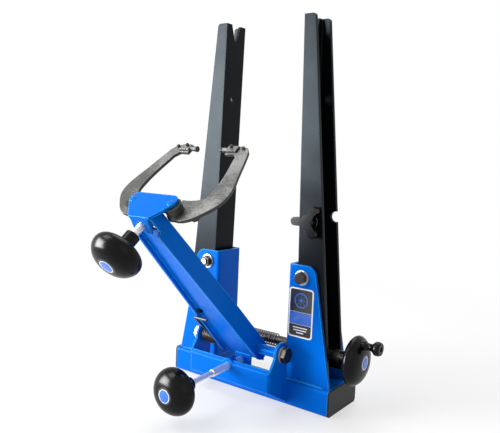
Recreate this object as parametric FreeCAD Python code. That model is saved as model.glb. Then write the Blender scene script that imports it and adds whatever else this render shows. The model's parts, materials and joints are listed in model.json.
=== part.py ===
"""Bicycle wheel truing stand: two tilting uprights on a steel base, a hinged caliper arm
with two jaws, and three hand screws.  Millimetres, +Z up, origin at the middle of the
base's underside; X runs along the base, -Y is the caliper side."""
import FreeCAD, Part
import math
import os

Vec = FreeCAD.Vector
AXIS_X = Vec(1, 0, 0)
AXIS_Y = Vec(0, 1, 0)
AXIS_Z = Vec(0, 0, 1)
SIDES = {"left": -1, "right": 1}

# ---- driving dimensions -------------------------------------------------------------
base_sheet = 10.0                # wall thicknesses of the steel parts
bracket_sheet = 4.0
upright_sheet = 4.0
caliper_sheet = 3.0
arm_sheet = 2.5
head_sheet = 3.0
running_gap = 0.05               # radial clearance of shafts that turn
side_gap = 0.4                   # free play beside parts that swing
fit_gap = 0.1                    # clearance of plugs and pressed-in pieces
overcut = 1.0                    # how far cutting shapes reach past the surfaces

base_length = 240.0
base_depth = 70.0
base_height = 32.0
base_edge_radius = 4.0
base_closed_end = 65.0           # the wheel dips between the two closed ends
base_front_flange = 12.0         # flange left along the front wall in the opening
bench_hole_radius = 3.4          # tapped holes for bolting the stand to a bench
bench_hole_inset = 32.0          # from the base's ends
bench_hole_spacing_y = 40.0

cap_thickness = 2.0
cap_plug_depth = 7.0
cap_wall = 2.0

upright_centre_y = -5.6
bracket_depth = 47.0
bracket_height = 143.0
bracket_foot_width = 63.0
bracket_top_width = 35.5
bracket_corner_radius = 12.0

pivot_outset = 19.0              # out from the opening's edge
pivot_below_top = 15.0           # down from the brackets' tops
pivot_bolt_radius = 4.0
pivot_sleeve_radius = 6.0
pivot_head_across = 13.0
pivot_head_height = 5.3
washer_radius = 9.4
washer_thickness = 1.5

upright_top = 470.0
upright_foot_rise = 13.0         # above the base's top
upright_lean = 1.5               # degrees inward at rest
upright_web_outset = 10.6        # out from the opening's edge, at the pivot
upright_top_width = 15.0
upright_foot_width = 44.75
upright_corner_radius = 4.0
dropout_depth = 20.0
dropout_half_width = 9.2
dropout_root_radius = 2.6
web_hole_z = 375.0
web_hole_radius = 3.5
flange_notch_z = 233.0
flange_notch_radius = 6.5
flange_notch_inset = 1.5
swivel_hole_radius = 8.4

screw_rise = 35.0                # above the base's top
drive_screw_radius = 5.0
drive_screw_inset = 30.0         # from the base's left end
nut_sleeve_radius = 6.5
nut_sleeve_reach = 26.0          # in from the opening's edge
nut_barrel_radius = 8.0
nut_barrel_length = 26.0
nut_barrel_gap = 0.4
bracket_sleeve_hole = 8.0
drive_spring_radius = 7.9
drive_spring_wire = 0.8
drive_spring_turns = 15

crank_radius = 30.0
crank_length = 32.0
crank_dome = 13.0                # from the apex to the widest ring
crank_back = 8.0                 # from the widest ring to the back
crank_neck_radius = 8.0
crank_shaft_depth = 6.0
crank_collar_length = 8.0
crank_collar_radius = 8.0
handle_offset = 20.5
handle_pin_radius = 3.0
handle_pin_end = 2.3             # the pin stops this far short of the grip's end
handle_pad_radius = 6.0
handle_seat_depth = 1.0          # the pad's face lies this far behind the apex
handle_pin_depth = 9.0
handle_end_play = 0.3
handle_length = 19.0
handle_radius = 8.4

ear_outset = 7.5                 # the ears' outer faces, out from the opening's edge
ear_pivot_y = -47.5
ear_pivot_rise = 35.0            # above the base's top
ear_radius = 14.5
ear_shoulder = 3.0               # the ears' round begins this far below the pivot
panel_front_y = -73.0
panel_dip = 7.0                  # the panel's bottom below the base's top
panel_rise = 16.0                # and its top above it
panel_fold_radius = 4.0
boss_radius = 9.5
radial_screw_rise = 12.3         # the boss's centre above the base's top
radial_tilt = 2.2                # degrees up towards the arm

arm_angle = 44.6                 # degrees back from upright, at rest
arm_length = 238.0
arm_foot_width = 57.6
arm_top_width = 33.0
arm_front_t = -11.2              # front edges of the side plates
arm_web_t = -6.1                 # front face of the web between them
arm_back_foot_t = 12.5           # back edges: low down, and at the top
arm_back_top_t = 9.0
arm_taper_s = 70.0               # the back edges run in from here up
arm_foot_s = -6.0                # centre of the side plates' round lower ends
arm_web_start = -18.5
arm_web_short = 8.0              # the web stops this far short of the arm's length
arm_notch_short = 13.0           # the front edges step back to the web here
arm_notch_rise = 2.4
nose_half_width = 12.0
nose_face_y = -42.0              # the nose stands upright at rest
nose_thickness = 3.0
nose_rise = 1.0                  # the nose's bottom above the base's top
arm_bolt_radius = 5.0
arm_bolt_head_across = 17.0
arm_bolt_head_height = 6.5
arm_bolt_washer = 2.4
arm_bolt_washer_radius = 10.0
spacer_radius = 6.4
torsion_radius = 8.6
torsion_wire = 1.2
torsion_turns = 9
spring_leg_wire = 1.5
spring_leg_t = -8.0
spring_leg_s = 2.0
hook_s = 69.0
hook_end_x = -8.0
edge_pin_gap = 0.2               # between the pin and the side plate
edge_pin_s = 77.0
edge_pin_radius = 3.6

head_angle = 39.0
head_rise = 9.0                  # the head's top beyond the arm's length
head_back_t = 4.0
head_side_t = -8.0
head_front_t = -31.0
head_half_width = 32.0
head_front_half = 14.0
head_corner_radius = 8.0
fork_height = 19.0
fork_lean = 4.0                  # the fork leans out by this much at its bottom
fork_half_width = 12.0
fork_slot_half = 5.2
jaw_pivot_x = 27.0
jaw_pivot_t = -7.0
jaw_bolt_radius = 3.0
jaw_drop = 13.0                  # the jaws' tops below the head's
jaw_thickness = 3.5
jaw_hub_radius = 9.5
jaw_washer_thickness = 0.8
jaw_root_radius = 10.4
jaw_tail_gap = 3.5               # from the middle to the end of each jaw's tail
jaw_tail_width = 6.0
jaw_tail_height = 7.2
jaw_screw_rise = 2.0             # above the jaws' tops
jaw_screw_radius = 4.0
jaw_nut_front = -25.0
jaw_nut_back = -17.5
jaw_nut_half = 6.6
spool_radius = 5.8               # the collars that hold the tails between them
spool_neck_radius = 2.7
spool_collar = 2.5
spool_gap = 0.6
jaw_nut_height = 4.5
jaw_nut_across = 10.0
jaw_bolt_head_radius = 4.6
jaw_bolt_head_height = 1.1
jaw_bolt_end = 1.0
tip_t = 95.0
tip_reach = 17.0                 # from the middle to the end of each tip
tip_block_start = 27.0
tip_block_end = 41.0
tip_block_half = 4.5
tip_block_below = 2.5            # the block reaches below and above the jaw's top
tip_block_above = 2.5
tip_rod_drop = 0.5
tip_rod_radius = 2.7
tip_pad_radius = 3.3
tip_pad_length = 2.5
toe_screw_radius = 1.5
toe_screw_head_radius = 2.0
toe_screw_head_height = 2.6
toe_screw_x = 47.3
toe_screw_t = 97.3
tip_screw_x = 32.0
tip_screw_t = 97.0
jaw_stop_x = 45.0
jaw_stop_t = -3.0
jaw_stop_across = 8.0
jaw_stop_height = 7.0

knob_radius = 27.3
knob_length = 43.0
knob_dome = 16.9
knob_back = 12.6
knob_neck_radius = 8.0
knob_shaft_depth = 20.0
knob_cap_radius = 10.0
knob_cap_depth = 2.0
knob_cap_crown = 0.9

radial_knob_apex = -184.0
radial_thin_radius = 3.4
radial_thick_radius = 4.5
radial_step_y = -102.5
radial_tip_gap = 0.6
radial_nut_length = 8.0
radial_nut_radius = 8.0
jaw_knob_apex = -90.0

clamp_outset = 25.0              # out from the opening's edge
clamp_z = 228.0
clamp_stud_radius = 4.0
clamp_stud_inside = 15.0
clamp_lobe_offset = 16.0
clamp_lobe_radius = 5.0
clamp_knob_length = 11.0
clamp_hub_radius = 8.8
clamp_washer_thickness = 1.2
clamp_collar_radius = 7.5
clamp_collar_length = 9.0

label_inset = 2.5
label_width = 34.5
label_rise = 54.0                # above the base's top
label_gap = 3.1                  # below the pivot's washer
label_thickness = 0.4

# ---- sizes that follow ----------------------------------------------------------------
base_front = -base_depth / 2
base_end = base_length / 2
base_opening_half = base_end - base_closed_end
bench_hole_spacing_x = 2 * (base_end - bench_hole_inset)
pivot_x = base_opening_half + pivot_outset
pivot_z = base_height + bracket_height - pivot_below_top
upright_web_at_pivot = base_opening_half + upright_web_outset
upright_foot = base_height + upright_foot_rise
screw_z = base_height + screw_rise
drive_screw_left_end = drive_screw_inset - base_end
nut_sleeve_end = base_opening_half - nut_sleeve_reach
crank_plane = base_end
ear_half_width = base_opening_half + ear_outset
ear_pivot_z = base_height + ear_pivot_rise
panel_bottom = base_height - panel_dip
panel_top = base_height + panel_rise
radial_screw_z = base_height + radial_screw_rise
nose_bottom = base_height + nose_rise
arm_web_end = arm_length - arm_web_short
arm_notch_s = arm_length - arm_notch_short
head_top = arm_length + head_rise
fork_bottom = head_top - fork_height
jaw_top = head_top - jaw_drop
jaw_screw_s = jaw_top + jaw_screw_rise
tip_block_bottom = jaw_top - tip_block_below
tip_block_top = jaw_top + tip_block_above
tip_rod_s = jaw_top - tip_rod_drop
clamp_x = base_opening_half + clamp_outset
label_left = base_opening_half + label_inset
label_bottom = base_height + label_rise
label_top = pivot_z - washer_radius - label_gap
bracket_front = upright_centre_y - bracket_depth / 2
bracket_back = upright_centre_y + bracket_depth / 2
upright_depth = bracket_depth - 2 * bracket_sheet - 2 * side_gap
upright_front = upright_centre_y - upright_depth / 2
upright_back = upright_centre_y + upright_depth / 2
lean_slope = math.tan(math.radians(upright_lean))
plate_under = head_top - head_sheet
hub_top = plate_under - jaw_washer_thickness
jaw_bottom = jaw_top - jaw_thickness
ear_inner = ear_half_width - caliper_sheet
arm_bolt_seat = ear_half_width + arm_bolt_washer
crank_apex_x = crank_plane + crank_length
handle_pad_x = crank_apex_x - handle_seat_depth
handle_start_x = handle_pad_x + handle_end_play


def web_x(z):
    """Inner face of the right upright's web at a height."""
    return upright_web_at_pivot - (z - pivot_z) * lean_slope


def flange_x(z):
    """Outer edge of the right upright's flanges at a height."""
    widening = (upright_foot_width - upright_top_width) / (upright_top - upright_foot)
    return web_x(z) + upright_top_width + (upright_top - z) * widening


def arm_half(s):
    """Half the arm's width at a distance up from its pivot."""
    return (arm_foot_width + (arm_top_width - arm_foot_width) * s / arm_length) / 2


# ---- helpers --------------------------------------------------------------------------
def block(low, high):
    size = [b - a for a, b in zip(low, high)]
    return Part.makeBox(size[0], size[1], size[2], Vec(*low))


def rod(radius, start, axis, length):
    return Part.makeCylinder(radius, length, Vec(*start), axis)


def tube(outer, inner, start, axis, length):
    return rod(outer, start, axis, length).cut(rod(inner, start, axis, length))


def prism(points, direction):
    """Extrude a closed outline of 3-D points."""
    corners = [Vec(*p) for p in points]
    face = Part.Face(Part.makePolygon(corners + [corners[0]]))
    return face.extrude(Vec(*direction))


def hexagon(across, start, axis, height):
    """A hexagon prism standing on a point, along X, Y or Z."""
    corner = across / math.sqrt(3)
    points = []
    for i in range(6):
        angle = math.radians(60 * i + 30)
        points.append(Vec(corner * math.cos(angle), corner * math.sin(angle), 0))
    solid = Part.Face(Part.makePolygon(points + [points[0]])).extrude(Vec(0, 0, height))
    solid.Placement = FreeCAD.Placement(Vec(*start), FreeCAD.Rotation(AXIS_Z, axis))
    return solid


def turned(profile, start, axis):
    """Revolve (radius, distance) points about an axis, distance going along the axis."""
    points = [Vec(r, 0, a) for r, a in profile]
    solid = Part.Face(Part.makePolygon(points + [points[0]])).revolve(Vec(0, 0, 0), AXIS_Z, 360)
    solid.Placement = FreeCAD.Placement(Vec(*start), FreeCAD.Rotation(AXIS_Z, axis))
    return solid


def smooth_turned(straight, curve):
    """Revolve about Z a profile whose outside follows a smooth curve through its points."""
    points = [Vec(r, 0, a) for r, a in curve]
    spline = Part.BSplineCurve()
    spline.interpolate(points)
    edges = [spline.toShape()]
    corners = [points[-1]] + [Vec(r, 0, a) for r, a in straight] + [points[0]]
    for a, b in zip(corners, corners[1:]):
        edges.append(Part.LineSegment(a, b).toShape())
    return Part.Face(Part.Wire(edges)).revolve(Vec(0, 0, 0), AXIS_Z, 360)


def coil(radius, wire, length, turns, start, axis):
    """A round-wire helix about an axis."""
    path = Part.makeHelix(length / turns, length, radius)
    section = Part.Wire([Part.makeCircle(wire, Vec(radius, 0, 0), AXIS_Y)])
    solid = Part.Wire(path.Edges).makePipeShell([section], True, True)
    solid.Placement = FreeCAD.Placement(Vec(*start), FreeCAD.Rotation(AXIS_Z, axis))
    return solid


def edges_along(shape, axis, points, reach=0.2):
    """Edges parallel to an axis that pass near one of the given points."""
    found = []
    for edge in shape.Edges:
        if len(edge.Vertexes) != 2 or not hasattr(edge.Curve, "Direction"):
            continue
        if abs(abs(edge.Curve.Direction.dot(axis)) - 1) > 1e-6:
            continue
        middle = edge.CenterOfMass
        for point in points:
            apart = middle - Vec(*point)
            apart = apart - axis * apart.dot(axis)
            if apart.Length < reach:
                found.append(edge)
                break
    return found


def mirrored(shape):
    return shape.mirror(Vec(0, 0, 0), AXIS_X)


def for_side(shape, side):
    return shape if side == "right" else mirrored(shape)


def tilted(shape, angle):
    """Carry a shape from the arm's or head's own frame (x, t, s) to its place."""
    copy = shape.copy()
    copy.Placement = FreeCAD.Placement(Vec(0, ear_pivot_y, ear_pivot_z),
                                       FreeCAD.Rotation(AXIS_X, angle)).multiply(copy.Placement)
    return copy


def to_arm(shape):
    """Carry a shape drawn in its place at rest into the arm's frame."""
    copy = shape.copy()
    move = FreeCAD.Placement(Vec(0, ear_pivot_y, ear_pivot_z), FreeCAD.Rotation(AXIS_X, arm_angle))
    copy.Placement = move.inverse().multiply(copy.Placement)
    return copy


def head_space_in_arm(shape):
    """Carry a shape from the head's frame into the arm's."""
    copy = shape.copy()
    copy.Placement = FreeCAD.Placement(Vec(0, 0, 0), FreeCAD.Rotation(
        AXIS_X, head_angle - arm_angle)).multiply(copy.Placement)
    return copy


def inclined(shape):
    """Tip a shape drawn level up towards the arm, about the boss's centre."""
    copy = shape.copy()
    centre = Vec(0, panel_front_y, radial_screw_z)
    turn = FreeCAD.Placement(Vec(0, 0, 0), FreeCAD.Rotation(AXIS_X, radial_tilt), centre)
    copy.Placement = turn.multiply(copy.Placement)
    return copy


def on_arm(shape):
    return tilted(shape, arm_angle)


def on_head(shape):
    return tilted(shape, head_angle)


# ---- base -----------------------------------------------------------------------------
def base_channel():
    """A box section with its middle cut away behind the front wall."""
    outer = block((-base_end, base_front, 0), (base_end, -base_front, base_height))
    outer = outer.makeFillet(base_edge_radius, edges_along(outer, AXIS_X, [
        (0, y, z) for y in (base_front, -base_front) for z in (0, base_height)]))
    inner = block((-base_end, base_front + base_sheet, base_sheet),
                  (base_end, -base_front - base_sheet, base_height - base_sheet))
    shape = outer.cut(inner)
    shape = shape.cut(block((-base_opening_half, base_front + base_front_flange, -overcut),
                            (base_opening_half, overcut - base_front, base_height + overcut)))
    for x in (-bench_hole_spacing_x / 2, bench_hole_spacing_x / 2):
        for y in (-bench_hole_spacing_y / 2, bench_hole_spacing_y / 2):
            shape = shape.cut(rod(bench_hole_radius, (x, y, -overcut), AXIS_Z,
                                  base_sheet + 2 * overcut))
    return shape


def end_cap():
    half = -base_front
    plate = block((base_end, -half, 0), (base_end + cap_thickness, half, base_height))
    plate = plate.makeFillet(base_edge_radius, edges_along(plate, AXIS_X, [
        (base_end, y, z) for y in (-half, half) for z in (0, base_height)]))
    rim = base_sheet + fit_gap
    plug = block((base_end - cap_plug_depth, -half + rim, rim),
                 (base_end, half - rim, base_height - rim))
    hollow = rim + cap_wall
    plug = plug.cut(block((base_end - cap_plug_depth - overcut, -half + hollow, hollow),
                          (base_end, half - hollow, base_height - hollow)))
    return plate.fuse(plug)


def upright_bracket():
    """The right bracket: a U of sheet with its web towards the wheel."""
    x0 = base_opening_half
    top = base_height + bracket_height
    foot = x0 + bracket_foot_width
    head = x0 + bracket_top_width
    outline = [(x0, bracket_front, base_height), (foot, bracket_front, base_height),
               (head, bracket_front, top), (x0, bracket_front, top)]
    shape = prism(outline, (0, bracket_depth, 0))
    shape = shape.makeFillet(bracket_corner_radius, edges_along(shape, AXIS_Y, [(head, 0, top)]))
    shape = shape.makeFillet(bracket_sheet, edges_along(shape, AXIS_Z, [
        (x0, bracket_front, 0), (x0, bracket_back, 0)]))
    shape = shape.cut(block((x0 + bracket_sheet, bracket_front + bracket_sheet,
                             base_height - overcut),
                            (foot + overcut, bracket_back - bracket_sheet, top + overcut)))
    shape = shape.cut(rod(pivot_bolt_radius + running_gap, (pivot_x, bracket_front - overcut,
                                                                 pivot_z),
                          AXIS_Y, bracket_depth + 2 * overcut))
    return shape.cut(rod(bracket_sleeve_hole, (x0 - overcut, upright_centre_y, screw_z),
                         AXIS_X, bracket_sheet + 2 * overcut))


def pivot_bolt(side):
    """A bolt along Y; the right one has its head in front, the left one at the back."""
    reach = bracket_depth + 2 * washer_thickness
    nut_room = pivot_head_height + 2
    x = SIDES[side] * pivot_x
    if side == "right":
        start = bracket_front - washer_thickness
        head = hexagon(pivot_head_across, (x, start - pivot_head_height, pivot_z), AXIS_Y,
                       pivot_head_height)
        return rod(pivot_bolt_radius, (x, start, pivot_z), AXIS_Y, reach + nut_room).fuse(head)
    start = bracket_front - washer_thickness - nut_room
    shank = rod(pivot_bolt_radius, (x, start, pivot_z), AXIS_Y, reach + nut_room)
    return shank.fuse(hexagon(pivot_head_across, (x, bracket_back + washer_thickness, pivot_z),
                              AXIS_Y, pivot_head_height))


def pivot_nuts():
    solids = []
    for side, y in (("right", bracket_back + washer_thickness),
                    ("left", bracket_front - washer_thickness - pivot_head_height)):
        x = SIDES[side] * pivot_x
        nut = hexagon(pivot_head_across, (x, y, pivot_z), AXIS_Y, pivot_head_height)
        solids.append(nut.cut(rod(pivot_bolt_radius, (x, y - overcut, pivot_z), AXIS_Y,
                                  pivot_head_height + 2 * overcut)))
    return Part.makeCompound(solids)


def pivot_washers():
    solids = []
    for x in (-pivot_x, pivot_x):
        for y in (bracket_front - washer_thickness, bracket_back):
            solids.append(tube(washer_radius, pivot_bolt_radius, (x, y, pivot_z), AXIS_Y,
                               washer_thickness))
    return Part.makeCompound(solids)


def label_plate():
    return block((label_left, bracket_front - label_thickness, label_bottom),
                 (label_left + label_width, bracket_front, label_top))


# ---- caliper bracket --------------------------------------------------------------------
def caliper_bracket():
    """A U of sheet in front of the base: a low panel with the radial screw's boss, and
    two ears that hold the arm's bolt."""
    outline = [(base_front, base_edge_radius), (panel_front_y, panel_bottom),
               (panel_front_y, panel_top),
               (ear_pivot_y - ear_radius, ear_pivot_z - ear_shoulder),
               (ear_pivot_y, ear_pivot_z), (base_front, ear_pivot_z),
               (base_front, base_height - base_edge_radius)]
    left = -ear_half_width
    width = 2 * ear_half_width
    shape = prism([(left, y, z) for y, z in outline], (width, 0, 0))
    shape = shape.fuse(rod(ear_radius, (left, ear_pivot_y, ear_pivot_z), AXIS_X, width))
    shape = shape.cut(block((-ear_inner, panel_front_y + caliper_sheet, -overcut),
                            (ear_inner, bracket_front + overcut,
                             ear_pivot_z + ear_radius + overcut)))
    shape = shape.removeSplitter()
    shape = shape.makeFillet(panel_fold_radius, edges_along(shape, AXIS_Z, [
        (x, panel_front_y, 0) for x in (-ear_half_width, ear_half_width)]))
    shape = shape.fuse(rod(boss_radius, (0, panel_front_y, radial_screw_z), AXIS_Y,
                           caliper_sheet))
    shape = shape.cut(inclined(rod(radial_thick_radius + 2 * running_gap,
                                   (0, panel_front_y - overcut, radial_screw_z), AXIS_Y,
                                   caliper_sheet + 2 * overcut)))
    return shape.cut(rod(arm_bolt_radius + running_gap, (left - overcut, ear_pivot_y,
                                                              ear_pivot_z),
                         AXIS_X, width + 2 * overcut))


def radial_screw_nut():
    """The threaded tube welded behind the panel."""
    back = panel_front_y + caliper_sheet
    shape = inclined(tube(radial_nut_radius, radial_thick_radius + running_gap,
                          (0, back - overcut, radial_screw_z), AXIS_Y,
                          radial_nut_length + overcut))
    return shape.cut(block((-boss_radius, panel_front_y, radial_screw_z - boss_radius),
                           (boss_radius, back, radial_screw_z + boss_radius)))


def arm_pivot_bolt():
    tail = arm_bolt_seat + arm_bolt_head_height
    shank = rod(arm_bolt_radius, (-tail, ear_pivot_y, ear_pivot_z), AXIS_X, tail + arm_bolt_seat)
    head = hexagon(arm_bolt_head_across, (arm_bolt_seat, ear_pivot_y, ear_pivot_z), AXIS_X,
                   arm_bolt_head_height)
    return shank.fuse(head)


def arm_pivot_nut():
    start = (-arm_bolt_seat - arm_bolt_head_height + 1, ear_pivot_y, ear_pivot_z)
    nut = hexagon(arm_bolt_head_across, start, AXIS_X, arm_bolt_head_height - 1)
    return nut.cut(rod(arm_bolt_radius, start, AXIS_X, arm_bolt_head_height - 1))


def arm_bolt_washers():
    return Part.makeCompound([
        tube(arm_bolt_washer_radius, arm_bolt_radius, (x, ear_pivot_y, ear_pivot_z), AXIS_X,
             arm_bolt_washer) for x in (-arm_bolt_seat, ear_half_width)])


def arm_spacer_tube():
    start = arm_foot_width / 2 + side_gap
    return tube(spacer_radius, arm_bolt_radius + running_gap, (start, ear_pivot_y, ear_pivot_z),
                AXIS_X, ear_inner - start - side_gap / 2)


def arm_torsion_spring():
    start = -ear_inner + torsion_wire + side_gap
    leg_room = 2 * (spring_leg_wire + side_gap)
    end = -arm_foot_width / 2 - leg_room - torsion_wire
    return coil(torsion_radius, torsion_wire, end - start, torsion_turns,
                (start, ear_pivot_y, ear_pivot_z), AXIS_X)


# ---- uprights ---------------------------------------------------------------------------
def upright(side):
    """The right upright: a tapering channel, web inward, with a dropout at its top."""
    z0, z1 = upright_foot, upright_top
    outline = [(web_x(z0), upright_front, z0), (flange_x(z0), upright_front, z0),
               (flange_x(z1), upright_front, z1), (web_x(z1), upright_front, z1)]
    shape = prism(outline, (0, upright_depth, 0))
    shape = shape.makeFillet(upright_corner_radius, edges_along(
        shape, AXIS_Y, [(flange_x(z1), 0, z1)]))
    below, above, beyond = z0 - overcut, z1 + overcut, flange_x(z0) + overcut
    inside = upright_front + upright_sheet
    hollow = [(web_x(below) + upright_sheet, inside, below), (beyond, inside, below),
              (beyond, inside, above), (web_x(above) + upright_sheet, inside, above)]
    shape = shape.cut(prism(hollow, (0, upright_depth - 2 * upright_sheet, 0)))
    through = 3 * upright_sheet
    x0 = web_x(z1) - upright_sheet
    centre = upright_centre_y
    root = z1 - dropout_depth
    notch = prism([(x0, centre - dropout_half_width, above),
                   (x0, centre + dropout_half_width, above),
                   (x0, centre + dropout_half_width, z1),
                   (x0, centre + dropout_root_radius, root + dropout_root_radius / 2),
                   (x0, centre - dropout_root_radius, root + dropout_root_radius / 2),
                   (x0, centre - dropout_half_width, z1)],
                  (through, 0, 0))
    notch = notch.fuse(rod(dropout_root_radius, (x0, centre, root + dropout_root_radius),
                           AXIS_X, through))
    shape = shape.cut(notch)
    shape = shape.cut(rod(web_hole_radius, (web_x(web_hole_z) - overcut, centre, web_hole_z),
                          AXIS_X, through))
    shape = shape.cut(rod(swivel_hole_radius, (web_x(screw_z) - overcut, centre, screw_z),
                          AXIS_X, through))
    shape = shape.cut(rod(pivot_sleeve_radius, (pivot_x, upright_front - overcut, pivot_z),
                          AXIS_Y, upright_depth + 2 * overcut))
    if side == "right":
        shape = shape.cut(rod(flange_notch_radius,
                              (flange_x(flange_notch_z) - flange_notch_inset,
                               upright_back - upright_sheet - overcut, flange_notch_z),
                              AXIS_Y, upright_sheet + 2 * overcut))
        shape = shape.cut(rod(clamp_stud_radius + running_gap,
                              (clamp_x, upright_front - overcut, clamp_z), AXIS_Y,
                              upright_sheet + 2 * overcut))
    return for_side(shape, side)


def pivot_sleeve(side):
    shape = tube(pivot_sleeve_radius, pivot_bolt_radius + running_gap,
                 (pivot_x, upright_front, pivot_z), AXIS_Y, upright_depth)
    return for_side(shape, side)


def clamp_seat_y():
    return upright_front - clamp_washer_thickness


def clamp_stud():
    return rod(clamp_stud_radius, (clamp_x, clamp_seat_y() - clamp_knob_length + 2, clamp_z),
               AXIS_Y, clamp_knob_length - 2 + clamp_washer_thickness + clamp_stud_inside)


def clamp_knob():
    """Three lobes round a hub, bored for the stud."""
    start = clamp_seat_y() - clamp_knob_length
    shape = rod(clamp_hub_radius, (clamp_x, start + 1, clamp_z), AXIS_Y, clamp_knob_length - 1)
    for i in range(3):
        angle = math.radians(180 + 120 * i)
        x = clamp_x + clamp_lobe_offset * math.cos(angle)
        z = clamp_z + clamp_lobe_offset * math.sin(angle)
        side_x = -math.sin(angle) * clamp_lobe_radius
        side_z = math.cos(angle) * clamp_lobe_radius
        shape = shape.fuse(rod(clamp_lobe_radius, (x, start, z), AXIS_Y, clamp_knob_length - 3))
        shape = shape.fuse(prism([
            (clamp_x + side_x, start, clamp_z + side_z), (x + side_x, start, z + side_z),
            (x - side_x, start, z - side_z), (clamp_x - side_x, start, clamp_z - side_z)],
            (0, clamp_knob_length - 3, 0)))
    shape = shape.removeSplitter()
    return shape.cut(rod(clamp_stud_radius, (clamp_x, start + 2, clamp_z), AXIS_Y,
                         clamp_knob_length))


def clamp_washer():
    return tube(clamp_hub_radius, clamp_stud_radius, (clamp_x, clamp_seat_y(), clamp_z), AXIS_Y,
                clamp_washer_thickness)


def clamp_collar():
    """The threaded collar welded inside the flange, which the stud screws into."""
    return tube(clamp_collar_radius, clamp_stud_radius + running_gap,
                (clamp_x, upright_front + upright_sheet, clamp_z), AXIS_Y, clamp_collar_length)


# ---- drive screw --------------------------------------------------------------------------
def barrel_x():
    return web_x(screw_z) + upright_sheet + nut_barrel_gap + nut_barrel_radius


def drive_nut(side):
    """A cross barrel behind the web, with a threaded sleeve through it along the screw."""
    y = upright_centre_y
    barrel = rod(nut_barrel_radius, (barrel_x(), y - nut_barrel_length / 2, screw_z), AXIS_Y,
                 nut_barrel_length)
    sleeve = rod(nut_sleeve_radius, (nut_sleeve_end, y, screw_z), AXIS_X,
                 barrel_x() - nut_sleeve_end)
    bore = rod(drive_screw_radius + running_gap, (0, y, screw_z), AXIS_X, 2 * barrel_x())
    return for_side(barrel.fuse(sleeve).cut(bore), side)


def drive_screw():
    return rod(drive_screw_radius, (drive_screw_left_end, upright_centre_y, screw_z), AXIS_X,
               crank_plane + crank_shaft_depth - drive_screw_left_end)


def drive_spring():
    reach = nut_sleeve_end - drive_spring_wire
    return coil(drive_spring_radius, drive_spring_wire, 2 * reach, drive_spring_turns,
                (-reach, upright_centre_y, screw_z), AXIS_X)


def screw_collar():
    """A plain collar pinned to the screw beside the crank."""
    start = crank_plane - crank_collar_length
    return tube(crank_collar_radius, drive_screw_radius, (start, upright_centre_y, screw_z),
                AXIS_X, crank_collar_length)


def knob_body(radius, dome, back, neck_radius, length, shaft_radius, shaft_depth):
    """A domed hand wheel on its neck, apex at distance 0, with its cap's recess and its
    shaft's hole."""
    curve = [(0, 0), (0.38 * radius, 0.05 * dome), (0.73 * radius, 0.27 * dome),
             (0.93 * radius, 0.62 * dome), (radius, dome), (0.95 * radius, dome + 0.40 * back),
             (0.78 * radius, dome + 0.68 * back), (neck_radius, dome + back)]
    shape = smooth_turned([(neck_radius, length), (0, length)], curve)
    shape = shape.cut(rod(knob_cap_radius + fit_gap, (0, 0, -overcut), AXIS_Z,
                          overcut + knob_cap_depth))
    return shape.cut(rod(shaft_radius, (0, 0, length - shaft_depth), AXIS_Z,
                         shaft_depth + overcut))


def knob_cap():
    curve = [(0, 0), (0.5 * knob_cap_radius, 0.25 * knob_cap_crown),
             (knob_cap_radius, knob_cap_crown)]
    return smooth_turned([(knob_cap_radius, knob_cap_depth), (0, knob_cap_depth)], curve)


def hand_knob(shaft_radius):
    return knob_body(knob_radius, knob_dome, knob_back, knob_neck_radius, knob_length,
                     shaft_radius, knob_shaft_depth)


def aimed(shape, apex, axis):
    """Put a turned piece with its origin at a point and its body going along an axis."""
    copy = shape.copy()
    copy.Placement = FreeCAD.Placement(Vec(*apex), FreeCAD.Rotation(AXIS_Z, axis))
    return copy


def crank_apex():
    return (crank_apex_x, upright_centre_y, screw_z)


def handle_point(x):
    return (x, upright_centre_y, screw_z + handle_offset)


def crank_disc():
    shape = knob_body(crank_radius, crank_dome, crank_back, crank_neck_radius, crank_length,
                      drive_screw_radius, crank_shaft_depth)
    shape = aimed(shape, crank_apex(), Vec(-1, 0, 0))
    start = handle_pad_x - handle_pin_depth
    shape = shape.fuse(rod(handle_pad_radius, handle_point(start), AXIS_X, handle_pin_depth))
    return shape.cut(rod(handle_pin_radius, handle_point(start + 1), AXIS_X, handle_pin_depth))


def handle_pin():
    start = handle_pad_x - handle_pin_depth + 1
    return rod(handle_pin_radius, handle_point(start), AXIS_X,
               handle_start_x + handle_length - handle_pin_end - start)


def crank_handle():
    """A spool-shaped grip that spins on the pin."""
    r = handle_radius
    curve = [(0.62 * r, 0), (0.50 * r, 0.22 * handle_length), (0.56 * r, 0.42 * handle_length),
             (0.95 * r, 0.64 * handle_length), (r, 0.80 * handle_length),
             (0.84 * r, handle_length)]
    shape = smooth_turned([(0, handle_length), (0, 0)], curve)
    shape = shape.cut(rod(handle_pin_radius + running_gap, (0, 0, -overcut), AXIS_Z,
                          handle_length + 2 * overcut))
    return aimed(shape, handle_point(handle_start_x), AXIS_X)


# ---- radial screw -------------------------------------------------------------------------
def radial_screw():
    knob_end = radial_knob_apex + knob_length
    thin_start = knob_end - knob_shaft_depth
    forward = nose_face_y - radial_tip_gap - radial_thick_radius - panel_front_y
    tip = panel_front_y + forward / math.cos(math.radians(radial_tilt))
    thin = rod(radial_thin_radius, (0, thin_start, radial_screw_z), AXIS_Y,
               radial_step_y - thin_start + 1)
    thick = rod(radial_thick_radius, (0, radial_step_y, radial_screw_z), AXIS_Y,
                tip - radial_step_y)
    ball = Part.makeSphere(radial_thick_radius, Vec(0, tip, radial_screw_z))
    return inclined(thin.fuse(thick).fuse(ball))


def radial_knob():
    return inclined(aimed(hand_knob(radial_thin_radius + running_gap),
                          (0, radial_knob_apex, radial_screw_z), AXIS_Y))


def radial_knob_cap():
    return inclined(aimed(knob_cap(), (0, radial_knob_apex, radial_screw_z), AXIS_Y))


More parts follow.
